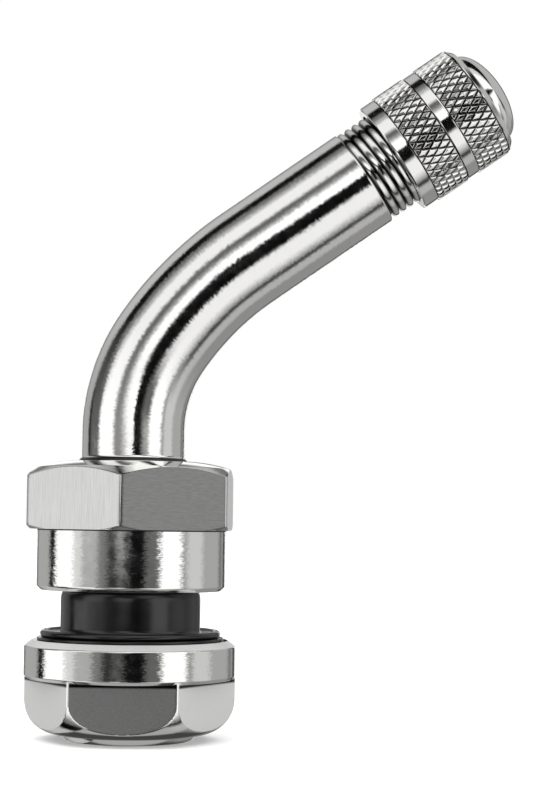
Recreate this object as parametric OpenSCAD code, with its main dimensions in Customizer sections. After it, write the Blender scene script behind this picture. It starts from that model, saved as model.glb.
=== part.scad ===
// Bent metal tyre valve of the clamp-in kind: a flanged foot inside the rim, a rubber grommet in the
// rim hole, a clamp nut outside, and a bent stem that ends in a screwed core and a knurled dust cap.
// The rim's inner face lies at z = 0, on the grommet's bead. The base axis is Z, out of the rim, and
// the stem bends towards +X.

/* [Stem] */
// Outside diameter of the bent tube
stem_d = 7.85; // [7.6:0.05:8.1]
// Diameter of the air passage
air_d = 3.2; // [2.6:0.1:3.6]
// Straight tube between the nut and the bend
tube_l = 2; // [2:0.1:6]
// Centre-line radius of the first, tighter part of the bend
bend_r1 = 12.3; // [10:0.1:18]
// Angle of the first part of the bend
bend_a1 = 34; // [20:1:45]
// Centre-line radius of the second part of the bend
bend_r2 = 25.2; // [16:0.1:35]
// Angle of the second part of the bend
bend_a2 = 21.2; // [10:0.1:30]
// Amount by which bending draws the tube thinner
bend_draw = 0.06; // [0.04:0.01:0.2]
// Straight run from the bend to the shoulder of the cap thread
straight_l = 10.8; // [8:0.1:20]
// Outside diameter of the cap thread
cap_thread_d = 7.7; // [7.4:0.05:7.8]
// Pitch of the cap thread
thread_pitch = 0.65; // [0.6:0.01:0.85]
// Depth of the cap thread
thread_depth = 0.35; // [0.2:0.01:0.4]
// Chamfer at the mouth
stem_edge = 0.3; // [0.1:0.05:0.4]
// Chamfer at the shoulder of the cap thread
shoulder_edge = 0.12; // [0.05:0.01:0.2]
// Diameter of the threaded root that carries the nut
root_d = 8.3; // [8.2:0.05:9]
// Height of the root's rounded end above the nut
root_end_l = 0.3; // [0.2:0.05:0.5]

/* [Foot] */
// Diameter of the round flange
flange_d = 16.1; // [15.8:0.1:18]
// Height of the hexagon under the flange
foot_hex_h = 4.15; // [3.5:0.05:5]
// Thickness of the flange at its rim
flange_t = 2.45; // [1.8:0.05:3]
// Height of the sloped shoulder on top of the flange
shoulder_h = 0.45; // [0.3:0.05:0.8]
// Width of the sloped shoulder
shoulder_w = 0.6; // [0.3:0.05:0.7]
// Chamfer under the flange
flange_edge = 0.25; // [0.1:0.05:0.5]
// Width across the flats of the foot's hexagon
foot_af = 14; // [13.8:0.05:14.6]
// Turned diameter of the hexagon's corners
foot_corner_d = 15.95; // [15:0.05:16]
// Turn of the foot's hexagon about the base axis
foot_turn = 3.3; // [-30:0.1:30]
// Radius of the foot's rounded lower corners
foot_round = 2.6; // [2:0.1:3.4]
// Diameter of the boss under the foot
boss_d = 9.6; // [9:0.1:10.5]
// Height of the boss
boss_h = 0.5; // [0.3:0.05:0.8]
// Width of the boss's sloped side
boss_slope = 0.4; // [0.1:0.05:0.6]
// Thickness of metal under the stem's root
foot_floor_t = 1.6; // [1.2:0.1:2.4]

/* [Grommet] */
// Diameter of the neck that fills the rim hole
neck_d = 10.65; // [10.4:0.05:10.9]
// Height of the grommet from the foot to the nut
grommet_h = 3.75; // [3.4:0.05:4.2]
// Diameter of the rounded bead on the grommet's flange
bead_d = 13.7; // [13.2:0.1:14]
// Height of the grommet's flange
bead_h = 0.75; // [0.6:0.05:0.9]
// Diameter of the thin lip under the bead
lip_d = 14.2; // [13.9:0.1:14.6]
// Thickness of the thin lip
lip_t = 0.22; // [0.15:0.01:0.3]
// Depth of the hollow between bead and neck
hollow_depth = 0.2; // [0.1:0.05:0.3]
// Chamfer at the top of the neck
neck_edge = 0.25; // [0.1:0.05:0.4]

/* [Clamp nut] */
// Width across the flats of the nut
nut_af = 15; // [14.7:0.05:15.4]
// Turned diameter of the nut's corners
nut_corner_d = 17.2; // [16.8:0.05:17.6]
// Turn of the nut's hexagon about the base axis
nut_turn = -28.6; // [-30:0.1:30]
// Diameter of the round collar under the hexagon
collar_d = 14.4; // [14:0.05:14.7]
// Height of the round collar
collar_h = 4.6; // [3.5:0.05:5.5]
// Height of the hexagon from the collar to its upper corners
hex_h = 4; // [3.2:0.05:5]
// Height of the chamfered top above the upper corners
dome_h = 1.2; // [1.05:0.05:1.3]
// Edge chamfer under the collar
collar_edge = 0.3; // [0.1:0.05:0.5]
// Width of the chamfer under the hexagon's corners
under_w = 0.65; // [0.4:0.05:0.8]
// Height of the chamfer under the hexagon's corners
under_h = 0.3; // [0.2:0.05:0.8]
// Width of the chamfer over the hexagon's corners
chamfer_w = 1.2; // [0.8:0.05:1.4]
// Slope of the chamfer over the hexagon's corners
chamfer_a = 30; // [20:1:35]

/* [Dust cap] */
// Length of stem thread left bare below the cap
bare_thread_l = 2.55; // [2:0.05:3]
// Diameter of the plain collar at the cap's mouth
cap_collar_d = 9.1; // [8.9:0.05:9.2]
// Length of the plain collar
cap_collar_l = 1.2; // [0.8:0.05:1.6]
// Diameter over the knurls
knurl_d = 9.25; // [9.1:0.05:9.6]
// Number of diamonds round each knurled band
knurl_n = 44; // [36:1:52]
// Depth of the knurl's grooves
knurl_depth = 0.28; // [0.15:0.01:0.32]
// How much shallower the second set of grooves is
knurl_step = 0.03; // [0.02:0.01:0.05]
// Slope of the knurl's grooves to the cap's axis
knurl_a = 30; // [25:1:35]
// Length of each knurled band
knurl_l = 2.8; // [2.2:0.05:3.2]
// Diameter of the plain band between the knurls
cap_band_d = 9.15; // [8.9:0.05:9.3]
// Length of the plain band
cap_band_l = 0.95; // [0.6:0.05:1.4]
// Length of the bevel at the end of the upper knurl
cap_bevel_l = 0.45; // [0.3:0.05:0.6]
// Width of the bevel at the end of the upper knurl
cap_bevel_w = 0.4; // [0.2:0.05:0.5]
// Depth of the groove round the foot of the dome
dome_groove = 0.15; // [0.1:0.01:0.2]
// Diameter of the polished dome
dome_d = 7.4; // [6.8:0.1:7.8]
// Height of the polished dome
cap_dome_h = 1.75; // [1.4:0.05:2.2]
// Radius of the dome's crown
dome_r = 7.6; // [5:0.1:12]
// Radius of the dome's rounded edge
dome_edge = 1.3; // [0.8:0.05:1.35]
// Thickness of the rubber gasket in the cap
gasket_t = 0.8; // [0.5:0.05:1]
// Metal between the gasket and the foot of the dome
cap_end_t = 0.55; // [0.3:0.05:1]

/* [Valve core] */
// Diameter of the core's thread
core_thread_d = 5.2; // [5:0.05:5.3]
// Depth of the threaded mouth
core_mouth_l = 7.6; // [7:0.1:8]
// Length of the conical seat
core_seat_l = 0.9; // [0.6:0.05:1.2]
// Diameter of the bore round the barrel
core_bore_d = 4.3; // [4.2:0.05:4.5]
// Travel of the pin when it is pressed
pin_travel = 1.1; // [0.6:0.1:1.3]
// Room below the cup when the pin is pressed
cup_room = 0.3; // [0.2:0.05:0.6]
// Depth of the pin's tip below the mouth
pin_depth = 0.25; // [0:0.05:0.5]
// Diameter of the pin
pin_d = 1.1; // [0.9:0.05:1.2]
// Diameter of the pin's collar
pin_collar_d = 2; // [1.8:0.05:2.1]
// Length of the plug's threaded part
plug_l = 3.4; // [2.8:0.1:3.8]
// Height of the plug's bridge
bridge_h = 1.6; // [1.2:0.1:2]
// Width of the plug's bridge
bridge_w = 3; // [2.6:0.1:3.4]
// Outside diameter of the barrel
barrel_d = 3.3; // [3.1:0.05:3.4]
// Inside diameter of the barrel
barrel_bore_d = 2.4; // [2.3:0.05:2.5]
// Length of the barrel
barrel_l = 9.6; // [9:0.1:9.8]
// Outside diameter of the cup
cup_d = 3.6; // [3.4:0.05:3.7]
// Height of the cup
cup_h = 1.4; // [1.2:0.05:1.5]
// Wire diameter of the spring
spring_wire_d = 0.28; // [0.2:0.02:0.3]
// Number of turns of the spring
spring_turns = 9; // [6:1:12]

/* [Clearances] */
// Running clearance on radius between pieces that turn or slide
run_gap = 0.05; // [0.02:0.01:0.08]
// Clearance on radius between pieces that stay together
seat_gap = 0.02; // [0.01:0.01:0.04]

/* [Hidden] */
$fn = 64;

// How far a cutting body runs past the face it cuts
over = 1;

chrome = "#c9c9c6";
satin = "#a9a9a6";
brass = "#b79a55";
rubber = "#1b1b1b";
steel = "#8f9296";
seal = "#b8382f";

// Heights on the base axis
foot_top_z = -bead_h;
flange_top_z = foot_top_z - shoulder_h;
flange_z = flange_top_z - flange_t;
foot_hex_z = flange_z - foot_hex_h;
foot_z = foot_hex_z - boss_h;
root_z = foot_z + foot_floor_t;
nut_z = foot_top_z + grommet_h;
hex_z = nut_z + collar_h;
nut_corner_z = hex_z + hex_h;
nut_top_z = nut_corner_z + dome_h;
root_top_z = nut_top_z + root_end_l;
bend_start_z = root_top_z + tube_l;

// Bend: where each arc ends, in the XZ plane, and how far the straight tubes lap its ends
bend_a = bend_a1 + bend_a2;
arc1_end = [bend_r1 * (1 - cos(bend_a1)), bend_start_z + bend_r1 * sin(bend_a1)];
arc2_end = [arc1_end[0] + bend_r2 * (cos(bend_a1) - cos(bend_a)),
            arc1_end[1] + bend_r2 * (sin(bend_a) - sin(bend_a1))];
bend_lap = 0.15;

// Places along the outer axis, from the end of the bend
cap_s = straight_l + bare_thread_l;
knurl1_s = cap_s + cap_collar_l;
band_s = knurl1_s + knurl_l;
knurl2_s = band_s + cap_band_l;
bevel_s = knurl2_s + knurl_l;
rim_s = bevel_s + cap_bevel_l;
gasket_end_s = rim_s - cap_end_t;
mouth_s = gasket_end_s - gasket_t;
seat_s = mouth_s - core_mouth_l;
seat_end_s = seat_s - core_seat_l;

// Cap thread: its root, the groove behind the shoulder, and its whole turns
thread_root_r = cap_thread_d / 2 - thread_depth;
thread_groove_l = 0.1;
thread_s = straight_l + thread_groove_l;
thread_crest_l = thread_pitch / 8;
thread_turns = floor((mouth_s - stem_edge - thread_s) / thread_pitch);

// Valve core
mouth_d = core_thread_d + 2 * run_gap;
seal_land_l = 0.1;
seal_tail_l = 0.4;
seal_top_s = seat_s + seal_land_l;
barrel_flange_t = 0.5;
barrel_floor_t = 0.8;
barrel_hole_gap = 0.4;
barrel_hole_d = pin_d + 2 * barrel_hole_gap;
plug_s = seal_top_s + barrel_flange_t;
barrel_s = plug_s - barrel_l;
plug_wall = 0.6;
plug_bore_d = core_thread_d - 2 * plug_wall;
plug_hole_gap = 0.2;
plug_pin_hole_d = pin_d + 2 * plug_hole_gap;
plug_bridge_d = core_thread_d - plug_wall;
pin_top_s = mouth_s - pin_depth;
pin_collar_t = 0.5;
pin_collar_s = seat_end_s - pin_collar_t;
rivet_lip = 0.35;
rivet_d = pin_d + 2 * rivet_lip;
rivet_t = 0.3;
cup_seal_t = 1.3;
cup_wall = 0.35;
cup_floor_t = 0.4;
cup_s = barrel_s - cup_seal_t - cup_floor_t;
core_bore_end_s = cup_s - pin_travel - cup_room;
spring_mean_d = (barrel_bore_d + pin_d) / 2;
spring_s = barrel_s + barrel_floor_t;
spring_l = pin_collar_s - spring_s;

// A hexagonal prism of a given width across its flats, with a corner on +X
module hex_prism(af, h) {
    cylinder(d = af / cos(30), h = h, $fn = 6);
}

// A ring of rectangular section
module ring(d_out, d_in, h) {
    difference() {
        cylinder(d = d_out, h = h);
        translate([0, 0, -over])
            cylinder(d = d_in, h = h + 2 * over);
    }
}

// Places its children on the outer axis, at a distance from the end of the bend
module on_outer_axis(s = 0) {
    translate([arc2_end[0], 0, arc2_end[1]])
        rotate([0, bend_a, 0])
            translate([0, 0, s])
                children();
}

// A bent bar along the two arcs of the stem, drawn both ways from the plane where they meet
module bend_bar(d) {
    translate([arc1_end[0], 0, arc1_end[1]])
        rotate([0, bend_a1, 0])
            rotate([90, 0, 180]) {
                translate([-bend_r1, 0, 0])
                    rotate_extrude(angle = -bend_a1)
                        translate([bend_r1, 0])
                            circle(d = d);
                translate([-bend_r2, 0, 0])
                    rotate_extrude(angle = bend_a2)
                        translate([bend_r2, 0])
                            circle(d = d);
            }
}

// Half section of the cap thread, each turn drawn as a ring
module thread_profile() {
    flank_l = (thread_pitch - thread_crest_l) / 2;
    crest_r = cap_thread_d / 2;
    rings = [for (k = [0:thread_turns - 1])
        let (s = thread_s + k * thread_pitch)
        each [[thread_root_r, s], [crest_r, s + flank_l], [crest_r, s + flank_l + thread_crest_l]]];
    mouth = [[thread_root_r, thread_s + thread_turns * thread_pitch], [thread_root_r, mouth_s - stem_edge],
             [thread_root_r - stem_edge, mouth_s], [0, mouth_s]];
    polygon(concat([[0, straight_l - over], [thread_root_r, straight_l - over]], rings, mouth));
}

// Outside of the stem: root, tube, bend, straight run and cap thread
module stem_outside() {
    translate([0, 0, root_z])
        cylinder(d = root_d, h = nut_top_z - root_z);
    translate([0, 0, nut_top_z])
        cylinder(d1 = root_d, d2 = stem_d, h = root_end_l);
    translate([0, 0, root_top_z])
        cylinder(d = stem_d, h = bend_start_z + bend_lap - root_top_z);
    bend_bar(stem_d - bend_draw);
    on_outer_axis(-bend_lap)
        cylinder(d = stem_d, h = straight_l + bend_lap - shoulder_edge);
    on_outer_axis(straight_l - shoulder_edge)
        cylinder(d1 = stem_d, d2 = stem_d - 2 * shoulder_edge, h = shoulder_edge);
    on_outer_axis()
        rotate_extrude()
            thread_profile();
}

// Air passage and the stepped chamber that holds the core
module stem_inside() {
    translate([0, 0, root_z - over])
        cylinder(d = air_d, h = bend_start_z + bend_lap - root_z + over);
    bend_bar(air_d - bend_draw);
    on_outer_axis(-bend_lap)
        cylinder(d = air_d, h = seat_s);
    on_outer_axis(core_bore_end_s)
        cylinder(d = core_bore_d, h = seat_s - core_bore_end_s);
    on_outer_axis(seat_end_s)
        cylinder(d1 = core_bore_d, d2 = mouth_d, h = core_seat_l);
    on_outer_axis(seat_s)
        cylinder(d = mouth_d, h = core_mouth_l + over);
}

module stem() {
    color(chrome)
        difference() {
            stem_outside();
            stem_inside();
        }
}

// Turned blank of the foot's hexagon: its lower corner is rounded
module foot_blank() {
    round_r = foot_corner_d / 2 - foot_round;
    translate([0, 0, foot_hex_z])
        rotate_extrude()
            union() {
                square([round_r, foot_hex_h]);
                translate([0, foot_round])
                    square([foot_corner_d / 2, foot_hex_h - foot_round]);
                translate([round_r, foot_round])
                    circle(r = foot_round);
            }
}

// Hexagon with turned corners under a round flange, on a sloped boss
module foot() {
    color(satin)
        difference() {
            union() {
                translate([0, 0, foot_z])
                    cylinder(d1 = boss_d, d2 = boss_d + 2 * boss_slope, h = boss_h);
                intersection() {
                    translate([0, 0, foot_hex_z])
                        rotate(foot_turn)
                            hex_prism(foot_af, foot_hex_h);
                    foot_blank();
                }
                translate([0, 0, flange_z])
                    cylinder(d1 = flange_d - 2 * flange_edge, d2 = flange_d, h = flange_edge);
                translate([0, 0, flange_z + flange_edge])
                    cylinder(d = flange_d, h = flange_t - flange_edge);
                translate([0, 0, flange_top_z])
                    cylinder(d1 = flange_d, d2 = flange_d - 2 * shoulder_w, h = shoulder_h);
            }
            translate([0, 0, root_z])
                cylinder(d = root_d + 2 * seat_gap, h = foot_top_z - root_z + over);
            translate([0, 0, foot_z - over])
                cylinder(d = air_d, h = foot_floor_t + 2 * over);
        }
}

// Rubber: a thin lip and a rounded bead on the foot, and a neck up to the nut
module rim_grommet() {
    bead_r = (bead_h - lip_t) / 2;
    color(rubber)
        difference() {
            translate([0, 0, foot_top_z])
                rotate_extrude()
                    union() {
                        square([lip_d / 2, lip_t]);
                        translate([0, lip_t])
                            square([bead_d / 2 - bead_r, bead_h - lip_t]);
                        translate([bead_d / 2 - bead_r, lip_t + bead_r])
                            circle(r = bead_r);
                        square([neck_d / 2, grommet_h - neck_edge]);
                        polygon([[0, grommet_h - neck_edge], [neck_d / 2, grommet_h - neck_edge],
                                 [neck_d / 2 - neck_edge, grommet_h], [0, grommet_h]]);
                    }
            translate([0, 0, foot_top_z + bead_h - hollow_depth])
                ring(bead_d - 4 * bead_r, neck_d, over);
            translate([0, 0, foot_top_z - over])
                cylinder(d = root_d + 2 * run_gap, h = grommet_h + 2 * over);
        }
}

// Section of the turned blank that the nut's hexagon is cut from: a chamfer, then a shallow crown
module nut_blank() {
    corner_r = nut_corner_d / 2;
    chamfer_h = chamfer_w * tan(chamfer_a);
    crown_h = dome_h - chamfer_h;
    crown_w = corner_r - chamfer_w - root_d / 2;
    crown_r = (crown_w * crown_w + crown_h * crown_h) / (2 * crown_h);
    rotate_extrude()
        union() {
            polygon([[0, hex_z], [corner_r - under_w, hex_z], [corner_r, hex_z + under_h],
                     [corner_r, nut_corner_z], [corner_r - chamfer_w, nut_corner_z + chamfer_h],
                     [0, nut_corner_z + chamfer_h]]);
            intersection() {
                translate([root_d / 2, nut_top_z - crown_r])
                    circle(r = crown_r, $fn = 256);
                translate([0, nut_corner_z + chamfer_h])
                    square([corner_r - chamfer_w, crown_h]);
            }
            translate([0, nut_corner_z + chamfer_h])
                square([root_d / 2, crown_h]);
        }
}

module clamp_nut() {
    color(chrome)
        difference() {
            union() {
                intersection() {
                    translate([0, 0, hex_z])
                        rotate(nut_turn)
                            hex_prism(nut_af, hex_h + dome_h);
                    nut_blank();
                }
                translate([0, 0, nut_z + collar_edge])
                    cylinder(d = collar_d, h = collar_h - collar_edge);
                translate([0, 0, nut_z])
                    cylinder(d1 = collar_d - 2 * collar_edge, d2 = collar_d, h = collar_edge);
            }
            translate([0, 0, nut_z - over])
                cylinder(d = root_d + 2 * run_gap, h = nut_top_z - nut_z + 2 * over);
        }
}

// Half section of the cap's plain bands, its bevelled end and its dome
module cap_profile() {
    knurl_r = knurl_d / 2;
    dome_top_s = rim_s + cap_dome_h;
    translate([0, cap_s])
        square([cap_collar_d / 2, cap_collar_l]);
    translate([0, band_s])
        square([cap_band_d / 2, cap_band_l]);
    polygon([[0, bevel_s], [knurl_r, bevel_s], [knurl_r - cap_bevel_w, rim_s],
             [dome_d / 2 + dome_groove, rim_s], [dome_d / 2, rim_s - dome_groove], [0, rim_s - dome_groove]]);
    intersection() {
        union() {
            translate([0, rim_s - dome_groove])
                square([dome_d / 2, cap_dome_h + dome_groove - dome_edge]);
            translate([0, rim_s - dome_groove])
                square([dome_d / 2 - dome_edge, cap_dome_h + dome_groove]);
            translate([dome_d / 2 - dome_edge, dome_top_s - dome_edge])
                circle(r = dome_edge);
        }
        translate([0, rim_s - dome_groove])
            square([dome_d / 2, cap_dome_h + dome_groove]);
        translate([0, dome_top_s - dome_r])
            circle(r = dome_r, $fn = 256);
    }
}

// One set of helical grooves round a band, drawn in by a step at its crests and its roots
module grooved_band(way, step) {
    crest_r = knurl_d / 2 - step;
    root_r = knurl_d / 2 - knurl_depth + step;
    knurl_twist = knurl_l * tan(knurl_a) / (knurl_d / 2) * 180 / PI;
    linear_extrude(knurl_l, twist = way * knurl_twist, slices = 2)
        polygon([for (i = [0:2 * knurl_n - 1])
            let (a = 180 * i / knurl_n, r = i % 2 == 0 ? crest_r : root_r)
            [r * cos(a), r * sin(a)]]);
}

// A band of diamonds: what two sets of grooves, one each way, leave standing
module knurl_band() {
    intersection() {
        grooved_band(1, 0);
        grooved_band(-1, knurl_step);
    }
}

module dust_cap() {
    color(chrome)
        on_outer_axis()
            difference() {
                union() {
                    rotate_extrude()
                        cap_profile();
                    translate([0, 0, knurl1_s])
                        knurl_band();
                    translate([0, 0, knurl2_s])
                        knurl_band();
                }
                translate([0, 0, cap_s - over])
                    cylinder(d = cap_thread_d + 2 * run_gap, h = gasket_end_s - cap_s + over);
            }
}

// Rubber disc that the stem's mouth presses against the end of the cap
module cap_gasket() {
    color(rubber)
        on_outer_axis(mouth_s)
            cylinder(d = cap_thread_d - 2 * stem_edge, h = gasket_t);
}

// Threaded plug with a bridge across its top for the core tool
module core_plug() {
    color(brass)
        on_outer_axis(plug_s)
            difference() {
                union() {
                    cylinder(d = core_thread_d, h = plug_l);
                    intersection() {
                        cylinder(d = plug_bridge_d, h = plug_l + bridge_h);
                        translate([-core_thread_d / 2, -bridge_w / 2, 0])
                            cube([core_thread_d, bridge_w, plug_l + bridge_h]);
                    }
                }
                translate([0, 0, -over])
                    cylinder(d = plug_bore_d, h = plug_l + over);
                cylinder(d = plug_pin_hole_d, h = plug_l + bridge_h + over);
            }
}

// Tube that holds the spring, with a flange under the plug and a floor with a hole for the pin
module core_barrel() {
    color(brass)
        on_outer_axis(barrel_s)
            difference() {
                union() {
                    cylinder(d = barrel_d, h = barrel_l);
                    translate([0, 0, barrel_l - barrel_flange_t])
                        cylinder(d = core_thread_d - 2 * run_gap, h = barrel_flange_t);
                }
                translate([0, 0, barrel_floor_t])
                    cylinder(d = barrel_bore_d, h = barrel_l);
                translate([0, 0, -over])
                    cylinder(d = barrel_hole_d, h = barrel_l);
            }
}

// Tapered ring that seals the barrel against the conical seat
module core_barrel_seal() {
    color(seal)
        difference() {
            union() {
                on_outer_axis(seat_s)
                    cylinder(d = mouth_d - 2 * seat_gap, h = seal_top_s - seat_s);
                on_outer_axis(seat_end_s)
                    cylinder(d1 = core_bore_d - 2 * seat_gap, d2 = mouth_d - 2 * seat_gap, h = core_seat_l);
                on_outer_axis(seat_end_s - seal_tail_l)
                    cylinder(d = core_bore_d - 2 * seat_gap, h = seal_tail_l);
            }
            on_outer_axis(seat_end_s - seal_tail_l - over)
                cylinder(d = barrel_d + 2 * seat_gap, h = core_seat_l + seal_tail_l + 2 * over);
        }
}

// Pin with the collar that the spring lifts and the rivet that holds the cup
module core_pin() {
    color(brass)
        union() {
            on_outer_axis(cup_s - rivet_t)
                cylinder(d = rivet_d, h = rivet_t);
            on_outer_axis(cup_s)
                cylinder(d = pin_d, h = pin_top_s - cup_s);
            on_outer_axis(pin_collar_s)
                cylinder(d = pin_collar_d, h = pin_collar_t);
        }
}

// A ring of points of the spring's wire, square to the helix
function coil_ring(turn, sides, height) =
    let (a = 360 * turn, r = spring_mean_d / 2, w = spring_wire_d / 2)
    [for (i = [0:sides - 1])
        let (b = 360 * i / sides)
        [(r + w * cos(b)) * cos(a), (r + w * cos(b)) * sin(a), height + w * sin(b)]];

// Helical spring between the barrel's floor and the pin's collar
module core_spring() {
    sides = 6;
    steps_per_turn = 14;
    steps = spring_turns * steps_per_turn;
    wire_span = spring_l - spring_wire_d;
    points = [for (k = [0:steps])
        each coil_ring(spring_turns * k / steps, sides, spring_wire_d / 2 + wire_span * k / steps)];
    walls = [for (k = [0:steps - 1], i = [0:sides - 1])
        let (j = (i + 1) % sides)
        [k * sides + i, (k + 1) * sides + i, (k + 1) * sides + j, k * sides + j]];
    start_cap = [[for (i = [0:sides - 1]) i]];
    end_cap = [[for (i = [sides - 1:-1:0]) steps * sides + i]];
    color(steel)
        on_outer_axis(spring_s)
            polyhedron(points = points, faces = concat(walls, start_cap, end_cap));
}

// Brass cup riveted to the pin
module core_cup() {
    color(brass)
        on_outer_axis(cup_s)
            difference() {
                cylinder(d = cup_d, h = cup_h);
                translate([0, 0, cup_floor_t])
                    cylinder(d = cup_d - 2 * cup_wall, h = cup_h);
                translate([0, 0, -over])
                    cylinder(d = pin_d + 2 * seat_gap, h = cup_h + 2 * over);
            }
}

// Rubber ring in the cup that closes the barrel's lower end
module core_cup_seal() {
    color(rubber)
        on_outer_axis(cup_s + cup_floor_t)
            ring(cup_d - 2 * cup_wall - 2 * seat_gap, pin_d + 2 * seat_gap, cup_seal_t);
}

stem();
foot();
rim_grommet();
clamp_nut();
dust_cap();
cap_gasket();
core_plug();
core_barrel();
core_barrel_seal();
core_pin();
core_spring();
core_cup();
core_cup_seal();
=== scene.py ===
from math import atan2, cos, hypot, pi, radians, sin, tan

import bmesh
import bpy
from mathutils import Matrix, Vector


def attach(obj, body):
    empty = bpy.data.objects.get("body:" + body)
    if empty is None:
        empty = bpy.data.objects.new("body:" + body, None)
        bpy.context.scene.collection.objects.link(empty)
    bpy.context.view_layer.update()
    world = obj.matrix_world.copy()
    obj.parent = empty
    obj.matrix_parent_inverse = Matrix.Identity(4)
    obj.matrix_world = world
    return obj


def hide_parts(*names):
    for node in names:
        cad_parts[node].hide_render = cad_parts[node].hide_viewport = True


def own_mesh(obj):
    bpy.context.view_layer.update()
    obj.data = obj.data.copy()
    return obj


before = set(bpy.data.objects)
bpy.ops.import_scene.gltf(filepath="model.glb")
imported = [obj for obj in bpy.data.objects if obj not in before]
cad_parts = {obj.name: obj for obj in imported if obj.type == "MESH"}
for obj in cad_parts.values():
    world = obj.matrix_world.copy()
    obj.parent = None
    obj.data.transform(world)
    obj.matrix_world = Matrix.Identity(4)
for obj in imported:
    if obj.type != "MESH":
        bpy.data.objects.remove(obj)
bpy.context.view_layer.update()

# FOOT
# The flanged hexagon that stays inside the rim. It is turned and milled from brass bar, then
# nickel plated: the flange, the rounded corners and the boss are polished, the flats are dull.
foot_bottom = -8.3
foot_hex_bottom = -7.8
flange_bottom = -3.65
flange_top = -1.2
foot_top = -0.75
foot_across = 14.0
foot_turn = 3.3
foot_corner_r = 8.02
foot_rounding = 2.6
foot_edge = 0.05
boss_r = 4.7
flange_r = 8.05
flange_chamfer = 0.25
shoulder_r = 7.45
socket_r = 4.17
socket_floor = -6.7
air_r = 1.6
overlap = 0.1
merge_gap = 0.0005
mm = 0.001


def rounded(corners):
    """A section line through (radius, height, fillet) corners, with a point close to each fillet's ends."""
    pieces = 5
    close = 0.04
    line = []
    last = len(corners) - 1
    for i, (r, z, fillet) in enumerate(corners):
        here = Vector((r, z))
        if fillet == 0 or i in (0, last):
            line.append((r, z))
            continue
        before = Vector(corners[i - 1][:2]) - here
        after = Vector(corners[i + 1][:2]) - here
        reach = fillet / tan(before.angle(after) / 2)
        a = here + before.normalized() * reach
        b = here + after.normalized() * reach
        if before.length - reach > 3 * close:
            line.append(tuple(a + before.normalized() * close))
        for k in range(pieces + 1):
            t = k / pieces
            line.append(tuple(a * (1 - t) ** 2 + here * 2 * t * (1 - t) + b * t ** 2))
        if after.length - reach > 3 * close:
            line.append(tuple(b + after.normalized() * close))
    return line


def round_corner(r, z, size, start, end, pieces):
    """Points of a section line on an arc, from one angle in degrees to another."""
    angles = [radians(start + (end - start) * k / pieces) for k in range(pieces + 1)]
    return [(r + size * cos(angle), z + size * sin(angle)) for angle in angles]


def straight(start, end, pieces):
    """Evenly spaced points of a straight section line, without its start."""
    r, z = start
    return [(r + (end[0] - r) * k / pieces, z + (end[1] - z) * k / pieces) for k in range(1, pieces + 1)]


def copied(part, geom):
    """Copies a part of a mesh and returns the copy's points."""
    copy = bmesh.ops.duplicate(part, geom=geom)["geom"]
    return [g for g in copy if isinstance(g, bmesh.types.BMVert)]


def join(bm, part):
    """Adds one mesh to another and returns the points that came with it."""
    before = len(bm.verts)
    mesh = bpy.data.meshes.new("part")
    part.to_mesh(mesh)
    part.free()
    bm.from_mesh(mesh)
    bpy.data.meshes.remove(mesh)
    bm.verts.ensure_lookup_table()
    return bm.verts[before:]


def turn_on_lathe(bm, section, steps):
    """Spins a closed section line about Z, as a lathe would: a sixteenth of a turn, doubled four times."""
    part = bmesh.new()
    points = [part.verts.new((r, 0, z)) for r, z in section]
    edges = [part.edges.new(pair) for pair in zip(points, points[1:] + points[:1])]
    bmesh.ops.spin(part, geom=points + edges, cent=(0, 0, 0), axis=(0, 0, 1), angle=pi / 8,
                   steps=steps // 16)
    for angle in (pi / 8, pi / 4, pi / 2, pi):
        turned = copied(part, part.verts[:] + part.edges[:] + part.faces[:])
        bmesh.ops.rotate(part, cent=(0, 0, 0), matrix=Matrix.Rotation(angle, 3, "Z"), verts=turned)
    bmesh.ops.remove_doubles(part, verts=part.verts, dist=merge_gap)
    bmesh.ops.delete(part, geom=[e for e in part.edges if e.is_wire], context="EDGES")
    return join(bm, part)


def move_to_radius(v, radius):
    """Moves a point straight out from the axis, or in to it."""
    share = radius / hypot(v.co.x, v.co.y)
    v.co.x *= share
    v.co.y *= share


def flat_of_six(point, turn):
    """The number of the flat that a point lies under, and its angle from the middle of that flat."""
    angle = (atan2(point.y, point.x) - radians(turn)) % (2 * pi)
    return int(angle // (pi / 3)), angle % (pi / 3) - pi / 6


def on_flat(point, across, turn):
    """Whether a point lies on one of the six flats."""
    out = hypot(point.x, point.y) * cos(flat_of_six(point, turn)[1])
    return abs(out - across / 2) < 0.02


def mill_flats(points, across, turn, edge):
    """Moves a turned blank's points in to six flats, with an edge that is broken a little."""
    for v in points:
        r = hypot(v.co.x, v.co.y)
        flat = across / 2 / cos(flat_of_six(v.co, turn)[1])
        h = min(max(0.5 + 0.5 * (flat - r) / edge, 0), 1)
        milled = flat + (r - flat) * h - edge * h * (1 - h)
        if milled < r:
            move_to_radius(v, milled)


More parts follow.
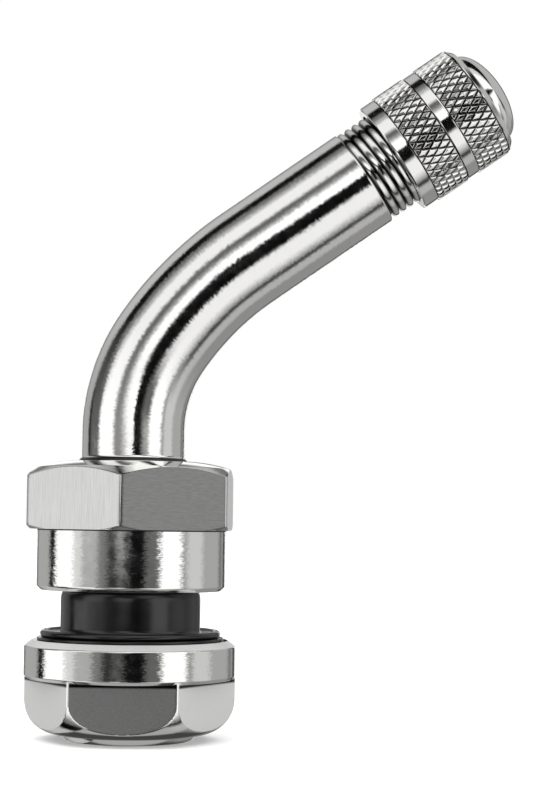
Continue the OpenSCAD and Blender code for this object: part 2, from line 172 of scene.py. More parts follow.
def finished(name, bm, materials, sharp=38, axis=None):
    """The piece as an object at the origin, in metres. Its turned form and its axis stay as attributes.
    Axis gives the place of each height on the bent stem, and a piece without it stands upright."""
    bmesh.ops.recalc_face_normals(bm, faces=bm.faces)
    for f in bm.faces:
        f.smooth = True
    for e in bm.edges:
        e.smooth = e.calc_face_angle(0) < radians(sharp)
    turned = bm.verts.layers.float_vector.new("turned")
    along = bm.verts.layers.float_vector.new("along")
    places = {}
    for v in bm.verts:
        v[turned] = v.co
        v[along] = (0, 0, 1)
        if axis:
            height = round(v.co.z, 4)
            if height not in places:
                places[height] = axis(height)
            v[along] = places[height].col[2].xyz
            v.co = places[height] @ Vector((v.co.x, v.co.y, 0))
    bmesh.ops.scale(bm, vec=(mm, mm, mm), verts=bm.verts)
    mesh = bpy.data.meshes.new(name)
    bm.to_mesh(mesh)
    bm.free()
    piece = bpy.data.objects.new(name, mesh)
    bpy.context.scene.collection.objects.link(piece)
    for m in materials:
        mesh.materials.append(m)
    return piece


def set_inputs(node, inputs):
    """Sets each input of a shader node to a value, or links it to another node's output."""
    for socket, value in inputs.items():
        if isinstance(value, bpy.types.NodeSocket):
            node.id_data.links.new(value, node.inputs[socket])
        else:
            node.inputs[socket].default_value = value


def add_node(tree, kind, inputs, **settings):
    """A new shader node with its settings and inputs."""
    node = tree.nodes.new("ShaderNode" + kind)
    for setting, value in settings.items():
        setattr(node, setting, value)
    set_inputs(node, inputs)
    return node


def new_material(name, inputs):
    """A material and its principled shader, with the values that are the same all over the surface."""
    material = bpy.data.materials.new(name)
    material.use_nodes = True
    shader = material.node_tree.nodes["Principled BSDF"]
    set_inputs(shader, inputs)
    return material, material.node_tree, shader


def ranged(tree, source, low, high):
    """A value that goes from low to high with a noise, whose own values are mostly from 0.3 to 0.7."""
    spread = {"Value": source, "From Min": 0.3, "From Max": 0.7, "To Min": low, "To Max": high}
    return add_node(tree, "MapRange", spread).outputs["Result"]


def two_tones(tree, source, low, high, high_at):
    """A colour that goes from low to high with a noise."""
    ramp = add_node(tree, "ValToRGB", {"Fac": source})
    first, second = ramp.color_ramp.elements
    first.position = 0.3
    first.color = low
    second.position = high_at
    second.color = high
    return ramp.outputs["Color"]


def streaked_normal(tree, turned, depth, flatter):
    """Leans the surface sideways by a noise that is fine along the axis: what a polishing belt leaves.
    Flatter is the share of the surface's lean along the axis that the shine leaves out."""
    streaks_per_mm = (3.4, 3.4, 13.0)
    patches_per_mm = 0.35
    along = add_node(tree, "Attribute", {}, attribute_name="along").outputs["Vector"]
    normal = add_node(tree, "NewGeometry", {}).outputs["Normal"]
    mapping = add_node(tree, "Mapping", {"Vector": turned, "Scale": streaks_per_mm})
    streaks = add_node(tree, "TexNoise", {"Vector": mapping.outputs["Vector"], "Scale": 1.0,
                                          "Roughness": 0.65, "Detail": 4.0})
    patches = add_node(tree, "TexNoise", {"Vector": turned, "Scale": patches_per_mm})
    worn = ranged(tree, patches.outputs["Fac"], depth * 0.6, depth * 1.6)
    lean = add_node(tree, "Math", {0: streaks.outputs["Fac"], 1: 0.5}, operation="SUBTRACT")
    lift = add_node(tree, "Math", {0: lean.outputs["Value"], 1: worn}, operation="MULTIPLY")
    side = add_node(tree, "VectorMath", {0: along, 1: normal}, operation="CROSS_PRODUCT")
    push = add_node(tree, "VectorMath", {0: side.outputs["Vector"], "Scale": lift.outputs["Value"]},
                    operation="SCALE")
    rise = add_node(tree, "VectorMath", {0: normal, 1: along}, operation="DOT_PRODUCT")
    share = add_node(tree, "Math", {0: rise.outputs["Value"], 1: -flatter}, operation="MULTIPLY")
    drop = add_node(tree, "VectorMath", {0: along, "Scale": share.outputs["Value"]}, operation="SCALE")
    level = add_node(tree, "VectorMath", {0: normal, 1: drop.outputs["Vector"]}, operation="ADD")
    pushed = add_node(tree, "VectorMath", {0: level.outputs["Vector"], 1: push.outputs["Vector"]},
                      operation="ADD")
    unit = add_node(tree, "VectorMath", {0: pushed.outputs["Vector"]}, operation="NORMALIZE")
    return unit.outputs["Vector"]


def polished_plating(name, lean, valley=None, flatter=0.0):
    """Polished nickel. A valley is a pair of radii: below the first the colour is near black, a painted
    shade in the grooves, and it turns to nickel by the second.
    """
    nickel = (0.86, 0.855, 0.84, 1)
    painted_groove_shade = (0.02, 0.02, 0.02, 1)
    material, tree, shader = new_material(name, {"Base Color": nickel, "Metallic": 1.0})
    turned = add_node(tree, "Attribute", {}, attribute_name="turned").outputs["Vector"]
    cloud = add_node(tree, "TexNoise", {"Vector": turned, "Scale": 1.6, "Detail": 5.0})
    set_inputs(shader, {"Normal": streaked_normal(tree, turned, lean, flatter),
                        "Roughness": ranged(tree, cloud.outputs["Fac"], 0.05, 0.12)})
    # Painted shade: the colour darkens towards the bottom of the grooves, by radius.
    if valley:
        across = add_node(tree, "VectorMath", {0: turned, 1: (1, 1, 0)}, operation="MULTIPLY")
        radius = add_node(tree, "VectorMath", {0: across.outputs["Vector"]}, operation="LENGTH")
        depth = add_node(tree, "MapRange", {"Value": radius.outputs["Value"], "From Min": valley[0],
                                            "From Max": valley[1]})
        shade = add_node(tree, "Mix", {"Factor": depth.outputs["Result"], "A": painted_groove_shade, "B": nickel},
                         data_type="RGBA")
        set_inputs(shader, {"Base Color": shade.outputs["Result"]})
    return material


def satin_flats(name, grey, lines, contrast, top=None, metal=1.0):
    """A milled flat with fine lines, so many to a millimetre each way. Close under the height top it is
    darkened to near black: a painted shade under the overhang above it."""
    painted_shade_black = (0.006, 0.006, 0.006, 1)
    low = grey * (1 - contrast)
    high = grey * (1 + contrast)
    material, tree, shader = new_material(name, {"Metallic": metal})
    turned = add_node(tree, "Attribute", {}, attribute_name="turned").outputs["Vector"]
    mapping = add_node(tree, "Mapping", {"Vector": turned, "Scale": lines})
    brush = add_node(tree, "TexNoise", {"Vector": mapping.outputs["Vector"], "Scale": 1.0, "Detail": 5.0,
                                        "Roughness": 0.7}).outputs["Fac"]
    colour = two_tones(tree, brush, (low, low, low * 0.99, 1), (high, high, high * 0.99, 1), 0.7)
    # Painted shade: just under the height top the colour goes to near black, where the flange's overhang
    # shades the flat.
    if top is not None:
        split = add_node(tree, "SeparateXYZ", {"Vector": turned})
        under = add_node(tree, "MapRange", {"Value": split.outputs["Z"], "From Min": top - 0.17,
                                            "From Max": top - 0.3})
        shade = add_node(tree, "Mix", {"Factor": under.outputs["Result"], "A": painted_shade_black, "B": colour},
                         data_type="RGBA")
        colour = shade.outputs["Result"]
    set_inputs(shader, {"Base Color": colour, "Roughness": ranged(tree, brush, 0.3, 0.4)})
    return material


fine_grain = (20.0, 20.0, 20.0)
coarse_grain = (6.0, 6.0, 6.0)
polished = polished_plating("polished_nickel", lean=0.18)
# Painted light and shade: the flats are one dull finish, in a darker and a lighter copy that go to alternate
# flats. Both copies carry the painted shade under the flange.
foot_shaded_flats = satin_flats("foot_flats_painted_shade", 0.3, fine_grain, contrast=0.36, top=flange_bottom)
foot_lit_flats = satin_flats("foot_flats_painted_light", 0.56, fine_grain, contrast=0.14, top=flange_bottom, metal=0.4)
shoulder_satin = satin_flats("foot_shoulder", 0.62, coarse_grain, contrast=0.06, metal=0.4)

bm = bmesh.new()
hexagon = [(air_r, foot_bottom), (boss_r, foot_bottom), (boss_r + 0.12, foot_bottom + 0.06),
           (boss_r + 0.5, foot_hex_bottom - 0.05), (boss_r + 0.54, foot_hex_bottom)]
hexagon += round_corner(foot_corner_r - foot_rounding, foot_hex_bottom + foot_rounding, foot_rounding,
                        -90, 0, 40)
hexagon += [(foot_corner_r, foot_hex_bottom + foot_rounding + 0.05)]
hexagon += straight(hexagon[-1], (foot_corner_r, flange_bottom), 15)
hexagon += [(foot_corner_r, flange_bottom + overlap), (socket_r, flange_bottom + overlap),
            (socket_r, socket_floor), (air_r, socket_floor)]
above_boss = [v for v in turn_on_lathe(bm, hexagon, steps=720) if v.co.z > foot_hex_bottom + 0.01]
mill_flats(above_boss, foot_across, foot_turn, foot_edge)
flange = [(socket_r, flange_bottom, 0), (flange_r - flange_chamfer, flange_bottom, 0.06),
          (flange_r, flange_bottom + flange_chamfer, 0.08), (flange_r, flange_top, 0.12),
          (shoulder_r, foot_top, 0.12), (socket_r, foot_top, 0)]
turn_on_lathe(bm, rounded(flange), steps=256)
for f in bm.faces:
    middle = f.calc_center_median()
    # Alternate flats take the darker and the lighter copy: painted light and shade.
    if on_flat(middle, foot_across, foot_turn) and middle.z < flange_bottom:
        f.material_index = 1 + flat_of_six(middle, foot_turn)[0] % 2
    elif middle.z > flange_top + 0.04 and hypot(middle.x, middle.y) > shoulder_r - 0.05:
        f.material_index = 3
foot = finished("foot_body", bm, [polished, foot_shaded_flats, foot_lit_flats, shoulder_satin])
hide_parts("foot")
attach(foot, "stem_body")

# STEM
# The bent tube, drawn and bent from brass and polished after plating. Its root is pressed into the
# foot and carries the nut, and its outer end has the rolled cap thread and the mouth for the core.
nut_top = 12.8
root_r = 4.15
root_top = 13.1
stem_r = 3.925
bend_r = 3.895
bend_start = 15.1
bends = ((12.3, radians(34.0)), (25.2, radians(21.2)))
bend_steps = 96
run_start = bend_start + sum(radius * angle for radius, angle in bends)
thread_start = run_start + 10.8
mouth = run_start + 20.2
mouth_r = 2.65
core_r = 2.15
core_floor = run_start + 0.5
core_seat = run_start + 11.7
core_taper = run_start + 12.6
thread_r = 3.845
thread_root_r = 3.5
thread_pitch = 0.65
thread_turns = 13


def centre_line(s):
    """Where the tube's section lies when the straight blank is bent."""
    place = Matrix.Translation((0, 0, min(s, bend_start)))
    left = s - bend_start
    for radius, angle in bends:
        part = min(max(left / radius, 0), angle)
        hub = Matrix.Translation((radius, 0, 0))
        place = place @ hub @ Matrix.Rotation(part, 4, "Y") @ hub.inverted()
        left -= radius * angle
    return place @ Matrix.Translation((0, 0, max(left, 0)))


def wind_helix(section, pitch, turns, steps):
    """Spins a section line one turn up a helix, copies it turn by turn, and closes the two ends."""
    part = bmesh.new()
    points = [part.verts.new((0, r, z)) for r, z in section]
    edges = [part.edges.new(pair) for pair in zip(points, points[1:] + points[:1])]
    bmesh.ops.spin(part, geom=points + edges, cent=(0, 0, 0), axis=(0, 0, 1), dvec=(0, 0, pitch / steps),
                   angle=2 * pi, steps=steps)
    one_turn = part.verts[:] + part.edges[:] + part.faces[:]
    for k in range(1, turns):
        bmesh.ops.translate(part, vec=(0, 0, pitch * k), verts=copied(part, one_turn))
    bmesh.ops.remove_doubles(part, verts=part.verts, dist=merge_gap)
    bmesh.ops.holes_fill(part, edges=[e for e in part.edges if e.is_boundary], sides=0)
    return part


stem_plating = polished_plating("polished_stem", lean=0.18)
# The thread's grooves get the painted shade, from the root up nearly to the crest.
thread_plating = polished_plating("polished_thread", lean=0.05, valley=(thread_r - 0.185, thread_r - 0.01),
                                  flatter=0.8)
# Painted shade: a near-black dull metal for the shadow lines where the stem's root meets the nut's top and
# where the nut's collar meets its hexagon.
joint_shade = satin_flats("painted_joint_shade", 0.05, (2.0, 2.0, 20.0), contrast=0.3)

tube = [(root_r, socket_floor), (root_r, nut_top - 0.05), (root_r - 0.02, nut_top + 0.06),
        (root_r - 0.09, nut_top + 0.15), (root_r - 0.17, nut_top + 0.22), (stem_r, root_top),
        (stem_r, root_top + 0.1)]
bend_l = run_start - bend_start
for k in range(bend_steps + 1):
    unbent = max(cos(2 * pi * k / bend_steps), 0) ** 2
    tube.append((bend_r + (stem_r - bend_r) * unbent, bend_start + bend_l * k / bend_steps))
tube += straight((stem_r, run_start), (stem_r, thread_start - 0.2), 20)
tube += [(stem_r, thread_start - 0.14), (stem_r - 0.01, thread_start - 0.1),
         (stem_r - 0.04, thread_start - 0.06), (stem_r - 0.11, thread_start),
         (thread_root_r + 0.04, thread_start + 0.02), (thread_root_r, thread_start + 0.08)]
tube += straight(tube[-1], (thread_root_r, mouth - 0.3), 12)
tube += [(thread_root_r - 0.05, mouth - 0.2), (thread_root_r - 0.2, mouth - 0.03),
         (thread_root_r - 0.26, mouth), (mouth_r + 0.1, mouth), (mouth_r, mouth - 0.1),
         (mouth_r, core_taper), (core_r, core_seat), (core_r, core_floor), (air_r, core_floor),
         (air_r, run_start)]
tube += straight(tube[-1], (air_r, bend_start), 24)
tube += [(air_r, socket_floor)]
bm = bmesh.new()
turn_on_lathe(bm, tube, steps=160)
for f in bm.faces:
    middle = f.calc_center_median()
    r = hypot(middle.x, middle.y)
    if middle.z > thread_start + 0.01 and r > thread_root_r - 0.2:
        f.material_index = 1
    # Painted shade: the root's band just above the nut's top takes the near-black finish.
    elif nut_top - 0.1 < middle.z < nut_top + 0.2 and r > stem_r - 0.025:
        f.material_index = 2
upper_tooth = [(thread_r, 0.0), (thread_r - 0.013, 0.07), (thread_r - 0.055, 0.15), (thread_r - 0.135, 0.22),
               (thread_r - 0.245, 0.27), (thread_root_r + 0.02, 0.31), (thread_root_r - 0.1, 0.33)]
tooth = [(r, -z) for r, z in upper_tooth[:0:-1]] + upper_tooth
tooth = [(r, thread_start + 0.03 + z) for r, z in tooth]
thread = wind_helix(tooth, thread_pitch, thread_turns, steps=96)
for f in thread.faces:
    f.material_index = 1
join(bm, thread)
stem = finished("stem_tube", bm, [stem_plating, thread_plating, joint_shade], axis=centre_line)
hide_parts("stem")
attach(stem, "stem_body")

# GROMMET
# The black rubber seal in the rim hole, moulded in one piece: a thin lip and a round bead that lie
# on the foot's flange, a shallow hollow, and a neck that the nut presses down.
nut_bottom = 3.0
seal_bore_r = 4.2
lip_r = 7.1
bead_r = 6.585
bead_size = 0.265
hollow = -0.2
hollow_r = 6.2
neck_r = 5.325


def own_noise(tree, per_metre, detail=2.0):
    """A noise on the piece's own coordinates."""
    where = add_node(tree, "TexCoord", {}).outputs["Object"]
    noise = add_node(tree, "TexNoise", {"Vector": where, "Scale": per_metre, "Detail": detail})
    return noise.outputs["Fac"]


rubber, tree, shader = new_material("moulded_rubber", {"Base Color": (0.002, 0.002, 0.002, 1),
                                                       "Specular IOR Level": 0.6})
mottle = own_noise(tree, per_metre=900.0, detail=6.0)
skin = add_node(tree, "Bump", {"Height": mottle, "Strength": 0.25, "Distance": 0.00004})
set_inputs(shader, {"Roughness": ranged(tree, mottle, 0.17, 0.25), "Normal": skin.outputs["Normal"]})

seal = [(seal_bore_r, foot_top), (lip_r - 0.1, foot_top), (lip_r - 0.02, foot_top + 0.04),
        (lip_r, foot_top + 0.11), (lip_r - 0.03, foot_top + 0.19), (lip_r - 0.15, foot_top + 0.22)]
seal += round_corner(bead_r, -bead_size, bead_size, -80, 170, 20)
seal += [(hollow_r + 0.1, hollow + 0.03), (hollow_r, hollow), (neck_r + 0.275, hollow),
         (neck_r + 0.125, hollow + 0.03), (neck_r + 0.035, hollow + 0.12), (neck_r, 0.06), (neck_r, 0.2),
         (neck_r, 1.3), (neck_r, 2.2), (neck_r - 0.01, nut_bottom - 0.5), (neck_r - 0.05, nut_bottom - 0.28),
         (neck_r - 0.14, nut_bottom - 0.13), (neck_r - 0.325, nut_bottom - 0.03),
         (neck_r - 0.425, nut_bottom), (seal_bore_r, nut_bottom)]
bm = bmesh.new()
turn_on_lathe(bm, seal, steps=192)
grommet = finished("rubber_grommet", bm, [rubber])
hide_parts("rim_grommet")
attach(grommet, "stem_body")

# CLAMP NUT
# The nut outside the rim: a round collar under a hexagon with chamfered corners and a shallow
# crown, turned from brass bar and nickel plated. The flats keep the lines of the cutter.
nut_hex_bottom = 7.6
nut_corner_top = 11.6
nut_across = 15.0
nut_corner_r = 8.6
nut_turn = -28.6
nut_edge = 0.09
nut_bore_r = 4.2
nut_face_r = 7.0
nut_collar_r = 7.2
collar_chamfer = 0.3
low_chamfer_w = 0.65
low_chamfer_h = 0.3
top_chamfer_w = 1.2
top_chamfer_h = top_chamfer_w * tan(radians(30))
crown_w = nut_corner_r - top_chamfer_w - root_r
crown_h = nut_top - nut_corner_top - top_chamfer_h
crown_r = (crown_w ** 2 + crown_h ** 2) / (2 * crown_h)
crown_steps = 20
# Painted light and shade: the flats are one milled finish, in a lit copy with upright lines and a shaded
# copy with level lines, given to alternate flats.
lit_upright_lines = satin_flats("flats_lit_upright_lines", 0.7, (20.0, 20.0, 0.5), contrast=0.2)
shaded_level_lines = satin_flats("flats_shaded_level_lines", 0.22, (1.6, 1.6, 22.0), contrast=0.28)

bm = bmesh.new()
block = [(nut_bore_r, nut_hex_bottom + 0.02), (nut_face_r, nut_hex_bottom)]
block += straight(block[-1], (nut_corner_r - low_chamfer_w, nut_hex_bottom), 10)
block += straight(block[-1], (nut_corner_r, nut_hex_bottom + low_chamfer_h), 24)
block += straight(block[-1], (nut_corner_r, nut_corner_top), 12)
block += straight(block[-1], (nut_corner_r - top_chamfer_w, nut_corner_top + top_chamfer_h), 36)
for k in range(1, crown_steps):
    out = crown_w * (1 - k / crown_steps)
    block.append((root_r + out, nut_top - crown_r + (crown_r ** 2 - out ** 2) ** 0.5))
block += [(nut_bore_r + 0.05, nut_top), (nut_bore_r, nut_top - 0.03)]
mill_flats(turn_on_lathe(bm, block, steps=720), nut_across, nut_turn, nut_edge)
bmesh.ops.remove_doubles(bm, verts=bm.verts, dist=merge_gap)
collar = [(nut_bore_r, nut_bottom, 0), (nut_collar_r - collar_chamfer, nut_bottom, 0.1),
          (nut_collar_r, nut_bottom + collar_chamfer, 0.2), (nut_collar_r, nut_hex_bottom - overlap, 0),
          (nut_collar_r, nut_hex_bottom + overlap, 0), (nut_bore_r, nut_hex_bottom + overlap, 0)]
turn_on_lathe(bm, rounded(collar), steps=256)
bmesh.ops.recalc_face_normals(bm, faces=bm.faces)
for f in bm.faces:
    middle = f.calc_center_median()
    on_collar = abs(hypot(middle.x, middle.y) - nut_collar_r) < 0.01 and abs(f.normal.z) < 0.5
    # Alternate flats take the lit and the shaded copy: painted light and shade.
    if on_flat(middle, nut_across, nut_turn) and middle.z > nut_hex_bottom:
        f.material_index = 1 + flat_of_six(middle, nut_turn)[0] % 2
    # Painted shade: a thin ring of the collar just under the hexagon takes the near-black finish.
    elif on_collar and abs(middle.z - nut_hex_bottom) < 0.05:
        f.material_index = 3
nut = finished("nut_body", bm, [polished, lit_upright_lines, shaded_level_lines, joint_shade])
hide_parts("clamp_nut")
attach(nut, "nut")

# VALVE CORE
# The screwed insert in the stem's mouth, hidden while the cap is on: a turned brass plug, barrel,
# pin and cup, a red seal ring on the seat, a rubber ring in the cup and a steel wire spring.
spring_foot = run_start + 4.4
spring_l = 6.8
spring_r = 0.875
spring_turns = 9
wire_r = 0.14

brass, tree, shader = new_material("turned_brass", {"Metallic": 1.0})
tarnish = own_noise(tree, per_metre=700.0, detail=5.0)
set_inputs(shader, {"Base Color": two_tones(tree, tarnish, (0.5, 0.34, 0.13, 1), (0.8, 0.6, 0.28, 1), 0.65),
                    "Roughness": ranged(tree, tarnish, 0.2, 0.34)})
red_seal, tree, shader = new_material("red_seal", {"Base Color": (0.5, 0.05, 0.035, 1)})
set_inputs(shader, {"Roughness": ranged(tree, own_noise(tree, per_metre=1200.0), 0.3, 0.45)})
wire, tree, shader = new_material("spring_wire", {"Base Color": (0.45, 0.46, 0.48, 1), "Metallic": 1.0})
set_inputs(shader, {"Roughness": ranged(tree, own_noise(tree, per_metre=1500.0), 0.2, 0.36)})


def dress(node, material):
    """Gives a CAD solid its finish."""
    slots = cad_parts[node].data.materials
    slots.clear()
    slots.append(material)


for turned_piece in ("core_plug", "core_barrel", "core_pin", "core_cup"):
    dress(turned_piece, brass)
dress("core_barrel_seal", red_seal)
dress("core_cup_seal", rubber)

coil = round_corner(spring_r, spring_foot + wire_r, wire_r, 0, 330, 11)
coils = wind_helix(coil, (spring_l - 2 * wire_r) / spring_turns, spring_turns, steps=28)
spring = finished("coil_spring", coils, [wire], axis=centre_line)
spring_place = centre_line(spring_foot)
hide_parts("core_spring")
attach(spring, "stem_body")
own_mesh(spring)

# DUST CAP
# The cap that keeps dirt off the core, turned from brass, knurled with two crossed wheels and nickel
# plated: a plain collar, two bands of diamonds with a plain band between, and a polished dome. A
# rubber gasket lies in its end.
knurl_l = 2.8
cap_mouth = run_start + 13.35
knurl_1 = cap_mouth + 1.2
band = knurl_1 + knurl_l
knurl_2 = band + 0.95
bevel = knurl_2 + knurl_l
rim = bevel + 0.45
gasket_end = rim - 0.55
cap_bore_r = 3.9
cap_collar_r = 4.55
cap_band_r = 4.575
bevel_r = 4.56
rim_r = 4.2
gutter_r = 3.9
dome_r = 3.7
dome_h = 1.75
dome_steps = 40
knurl_r = 4.625
knurl_crown_r = 4.585
knurl_edge_r = 4.5
knurl_low_r = 4.38
knurl_floor_r = 4.32
knurl_seat_r = 4.2
knurl_count = 44
knurl_rows = 5
knurl_wall = 0.03
knurl_edge = 0.11
knurl_crown = 0.08
cap_plating = polished_plating("polished_cap", lean=0.05)
# The knurl's grooves get the painted shade, up to the crowns of the diamonds.
knurl_plating = polished_plating("polished_knurl", lean=0.2, valley=(knurl_edge_r - 0.03, knurl_crown_r))

bm = bmesh.new()
shell = [(cap_bore_r, cap_mouth), (cap_collar_r - 0.13, cap_mouth), (cap_collar_r - 0.03, cap_mouth + 0.05),
         (cap_collar_r, cap_mouth + 0.14), (cap_collar_r, cap_mouth + 0.2), (cap_collar_r, knurl_1 - 0.14),
         (cap_collar_r, knurl_1 - 0.1), (cap_collar_r - 0.01, knurl_1 - 0.03),
         (cap_collar_r - 0.15, knurl_1), (knurl_floor_r, knurl_1 + 0.02), (knurl_floor_r, band - 0.02)]
shell += [(cap_band_r - 0.125, band), (cap_band_r - 0.015, band + 0.02), (cap_band_r, band + 0.06),
          (cap_band_r, band + 0.12), (cap_band_r, knurl_2 - 0.12), (cap_band_r, knurl_2 - 0.06),
          (cap_band_r - 0.015, knurl_2 - 0.02), (cap_band_r - 0.125, knurl_2),
          (knurl_floor_r, knurl_2 + 0.02), (knurl_floor_r, bevel - 0.02)]
shell += [(bevel_r - 0.16, bevel), (bevel_r - 0.01, bevel + 0.02), (bevel_r, bevel + 0.08),
          (rim_r + 0.1, rim - 0.1), (rim_r + 0.025, rim - 0.02), (rim_r, rim), (gutter_r, rim),
          (gutter_r - 0.06, rim - 0.03), (gutter_r - 0.12, rim - 0.14), (dome_r, rim - 0.14),
          (dome_r, rim - 0.06)]
for k in range(dome_steps):
    angle = pi / 2 * k / dome_steps
    shell.append((dome_r * cos(angle), rim + dome_h * sin(angle)))
shell += [(0, rim + dome_h), (0, gasket_end), (cap_bore_r, gasket_end)]
turn_on_lathe(bm, shell, steps=192)


def roll_knurl(bm, start):
    """Two crossed sets of grooves: a fine net is merged to diamonds, and each is raised in three steps, a
    wall, an edge and a crown. A skirt closes the ring under them."""
    net = bmesh.new()
    line = [net.verts.new((knurl_low_r, 0, start + knurl_l * j / knurl_rows)) for j in range(knurl_rows + 1)]
    edges = [net.edges.new(pair) for pair in zip(line, line[1:])]
    bmesh.ops.spin(net, geom=line + edges, cent=(0, 0, 0), axis=(0, 0, 1), angle=2 * pi,
                   steps=2 * knurl_count, use_merge=True)
    bmesh.ops.remove_doubles(net, verts=net.verts, dist=2 * merge_gap)
    middles = []
    for v in net.verts:
        i = round(atan2(v.co.y, v.co.x) / (pi / knurl_count))
        j = round((v.co.z - start) / (knurl_l / knurl_rows))
        if (i + j) % 2 == 0:
            middles.append(v)
    in_middle = set(middles)
    for f in net.faces[:]:
        ends = [v for v in f.verts if v not in in_middle]
        bmesh.utils.face_split(f, ends[0], ends[1])
    bmesh.ops.dissolve_verts(net, verts=middles)
    tops = net.faces[:]
    for inset, radius in ((knurl_wall, knurl_edge_r), (knurl_edge, knurl_crown_r), (knurl_crown, knurl_r)):
        bmesh.ops.inset_individual(net, faces=tops, thickness=inset, depth=0)
        for v in {v for f in tops for v in f.verts}:
            move_to_radius(v, radius)
    skirt = bmesh.ops.extrude_edge_only(net, edges=[e for e in net.edges if e.is_boundary])["geom"]
    for v in [g for g in skirt if isinstance(g, bmesh.types.BMVert)]:
        move_to_radius(v, knurl_seat_r)
    bmesh.ops.bridge_loops(net, edges=[e for e in net.edges if e.is_boundary])
    for f in net.faces:
        f.material_index = 1
    join(bm, net)


roll_knurl(bm, knurl_1)
roll_knurl(bm, knurl_2)
cap = finished("cap_shell", bm, [cap_plating, knurl_plating], sharp=25, axis=centre_line)
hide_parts("dust_cap")
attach(cap, "cap")
dress("cap_gasket", rubber)

# STUDIO
# A plain white sweep, soft light from all round, and rows of white and dark cards that polished
# metal mirrors as streaks. The cards stand round the object and stay put when the view changes.
view_right = Vector((0.9982, 0.0584, 0.0123)).normalized()
view_back = Vector((0.0591, -0.9964, -0.0610))
view_back = (view_back - view_right * view_back.dot(view_right)).normalized()
view_up = view_back.cross(view_right)
eye = (0.019160, -0.151599, 0.008333)
lens_mm = 89.54
floor_size = 2.0
floor_glow = 0.12
soft_light = 1.5
top_light_at = Vector((-0.12, -0.12, 0.3))

floor_mesh = bpy.data.meshes.new("floor")
bm = bmesh.new()
bmesh.ops.create_grid(bm, x_segments=1, y_segments=1, size=floor_size)
bmesh.ops.translate(bm, vec=(0, 0, foot_bottom * mm), verts=bm.verts)
bm.to_mesh(floor_mesh)
bm.free()
floor = bpy.data.objects.new("floor", floor_mesh)
bpy.context.scene.collection.objects.link(floor)
sweep, tree, shader = new_material("white_sweep", {
    "Base Color": (0.92, 0.92, 0.92, 1), "Roughness": 0.9, "Specular IOR Level": 0.0,
    "Emission Color": (1, 1, 1, 1), "Emission Strength": floor_glow})
floor_mesh.materials.append(sweep)
floor.visible_glossy = False

world = bpy.data.worlds.new("studio")
bpy.context.scene.world = world
world.use_nodes = True
tree = world.node_tree
tree.nodes.clear()
direction = add_node(tree, "TexCoord", {}).outputs["Generated"]


def part_of(axis):
    """How far a direction goes along an axis."""
    node = add_node(tree, "VectorMath", {0: direction, 1: axis}, operation="DOT_PRODUCT")
    return node.outputs["Value"]


def maths(operation, *values):
    """A sum on values and on other nodes' outputs."""
    return add_node(tree, "Math", dict(enumerate(values)), operation=operation).outputs["Value"]


def share(value, times, plus):
    """A share from 0 to 1 that grows with a value."""
    node = add_node(tree, "Math", {0: value, 1: times, 2: plus}, operation="MULTIPLY_ADD", use_clamp=True)
    return node.outputs["Value"]


def round_about(angle):
    """An angle in radians as a place on a row of cards, from 0 to 1."""
    return maths("MULTIPLY_ADD", angle, 0.5 / pi, 0.5)


def row_of_cards(place, cards):
    """Grey cards side by side round the object, each with its first angle in degrees and its level."""
    soft_edge = 3.5
    stops = [(-180, cards[0][1])]
    for (_, before), (angle, level) in zip(cards, cards[1:]):
        stops += [(angle - soft_edge, before), (angle + soft_edge, level)]
    stops.append((180, cards[-1][1]))
    ramp = add_node(tree, "ValToRGB", {"Fac": place})
    while len(ramp.color_ramp.elements) < len(stops):
        ramp.color_ramp.elements.new(0.5)
    for element, (angle, level) in zip(ramp.color_ramp.elements, stops):
        element.position = (angle + 180) / 360
        element.color = (level, level, level, 1)
    return ramp.outputs["Color"]


def blend(first, second, factor):
    """One row of cards that gives way to another."""
    node = add_node(tree, "Mix", {"Factor": factor, "A": first, "B": second}, data_type="RGBA")
    return node.outputs["Result"]


# The cards' levels, and the ways that a mirrored direction is measured: round the view axis, up, and
# by the slant of the plane through that axis.
white = 1.25
pale = 0.75
grey = 0.42
dim = 0.2
dark = 0.06
black = 0.003
half_bend = radians(27.5)
half_way = (view_right * cos(half_bend) - view_up * sin(half_bend)).normalized()
cap_way = (view_right * 0.82 + view_up * 0.57).normalized()
cap_side = (view_right * 0.57 - view_up * 0.82).normalized()
height = part_of((0, 0, 1))
up = part_of(view_up)
side = maths("SIGN", part_of(half_way))
turn = maths("ARCCOSINE", part_of(view_back))
place = round_about(maths("MULTIPLY", side, turn))
slant = maths("ARCTAN2", maths("MULTIPLY", maths("MULTIPLY", side, up), -1.0),
              maths("MULTIPLY", side, part_of(view_right)))
steepness = maths("ABSOLUTE", slant)

# The rows: for the base, the upright stem, the slanting run and the cap's end, behind and underneath.
right_side = [(20, 0.13), (38, white), (67, 0.3), (74, 0.65), (100, grey), (136, dim), (147, grey)]
along_base = row_of_cards(place, [(-180, grey), (-113, black), (-101, white), (-71, pale), (-58, 0.45),
                                  (-37, dim), (-26, 0.03), (-14, dark), (-3, black)] + right_side)
along_stem = row_of_cards(place, [(-180, grey), (-118, black), (-109, 0.12), (-80, white), (-42, 0.3),
                                  (-12, white), (2, black)] + right_side)
along_run = row_of_cards(place, [(-180, grey), (-140, 0.55), (-111, black), (-91, dim), (-80, 0.5),
                                 (-71, 1.0), (-44, 0.14), (-31, grey), (-24, white), (1, black), (25, 1.0),
                                 (58, pale), (66, grey), (74, dark), (85, 0.5), (106, 0.3)])
round_cap = round_about(maths("ARCTAN2", part_of(cap_side), part_of(view_back)))
overhead = row_of_cards(round_cap, [(-180, 0.5), (-130, black), (-84, pale), (-60, white), (-8, black),
                                    (10, white), (62, pale), (96, dark), (130, 0.5)])
behind = row_of_cards(place, [(-180, black), (-174, white), (-163, dim), (-150, grey), (150, dark),
                              (163, white), (174, black)])
underneath = row_of_cards(place, [(-180, dim), (50, black), (80, grey), (112, dark), (150, dim)])

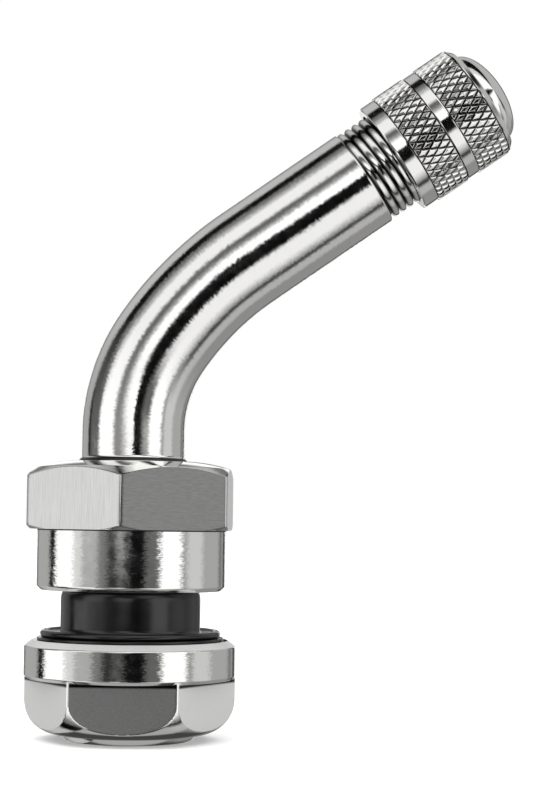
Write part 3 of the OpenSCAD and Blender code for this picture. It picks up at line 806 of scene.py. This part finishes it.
# Where each row gives way to the next.
above = share(height, 40.0, -0.1)
below = share(height, -20.0, -2.4)
leaning = share(steepness, 2.0, -0.3)
off_axis = share(turn, 8.0, -0.8)
along_cap = share(part_of(cap_way), 5.0, -1.25)
upward = share(up, 7.0, -0.35)
away = share(turn, 10.0, -25.5)
straight_down = share(steepness, 6.0, -6.4)
downward = share(height, -8.0, -1.0)
cards = blend(along_base, along_stem, maths("MAXIMUM", above, below))
cards = blend(cards, along_run, maths("MULTIPLY", leaning, off_axis))
cards = blend(cards, overhead, maths("MULTIPLY", along_cap, upward))
cards = blend(cards, behind, away)
cards = blend(cards, underneath, maths("MULTIPLY", straight_down, downward))

# Metal mirrors the cards, everything else is lit softly, and the camera sees white.
mirrored = add_node(tree, "Background", {"Color": cards})
soft = add_node(tree, "Background", {"Color": (1, 1, 1, 1), "Strength": soft_light})
backdrop = add_node(tree, "Background", {"Color": (1, 1, 1, 1)})
path = add_node(tree, "LightPath", {}).outputs
on_metal = maths("MAXIMUM", path["Is Glossy Ray"], path["Is Transmission Ray"])
for_metal = add_node(tree, "MixShader", {"Fac": on_metal, 1: soft.outputs["Background"],
                                         2: mirrored.outputs["Background"]})
for_camera = add_node(tree, "MixShader", {"Fac": path["Is Camera Ray"], 1: for_metal.outputs["Shader"],
                                          2: backdrop.outputs["Background"]})
add_node(tree, "OutputWorld", {"Surface": for_camera.outputs["Shader"]})

top_light = bpy.data.lights.new("top_light", "AREA")
top_light.energy = 0.25
top_light.size = 0.25
light_object = bpy.data.objects.new("top_light", top_light)
light_object.location = top_light_at
light_object.rotation_euler = (-top_light_at).to_track_quat("-Z", "Y").to_euler()
light_object.visible_glossy = False
bpy.context.scene.collection.objects.link(light_object)

lens = bpy.data.cameras.new("camera")
lens.sensor_fit = "VERTICAL"
lens.sensor_height = 36.0
lens.lens = lens_mm
lens.clip_start = 0.01
lens.clip_end = 20.0
camera = bpy.data.objects.new("camera", lens)
view_axes = Matrix((view_right, view_up, view_back)).transposed().to_4x4()
camera.matrix_world = Matrix.Translation(eye) @ view_axes
bpy.context.scene.collection.objects.link(camera)
bpy.context.scene.camera = camera
bpy.context.scene.view_settings.view_transform = "Standard"
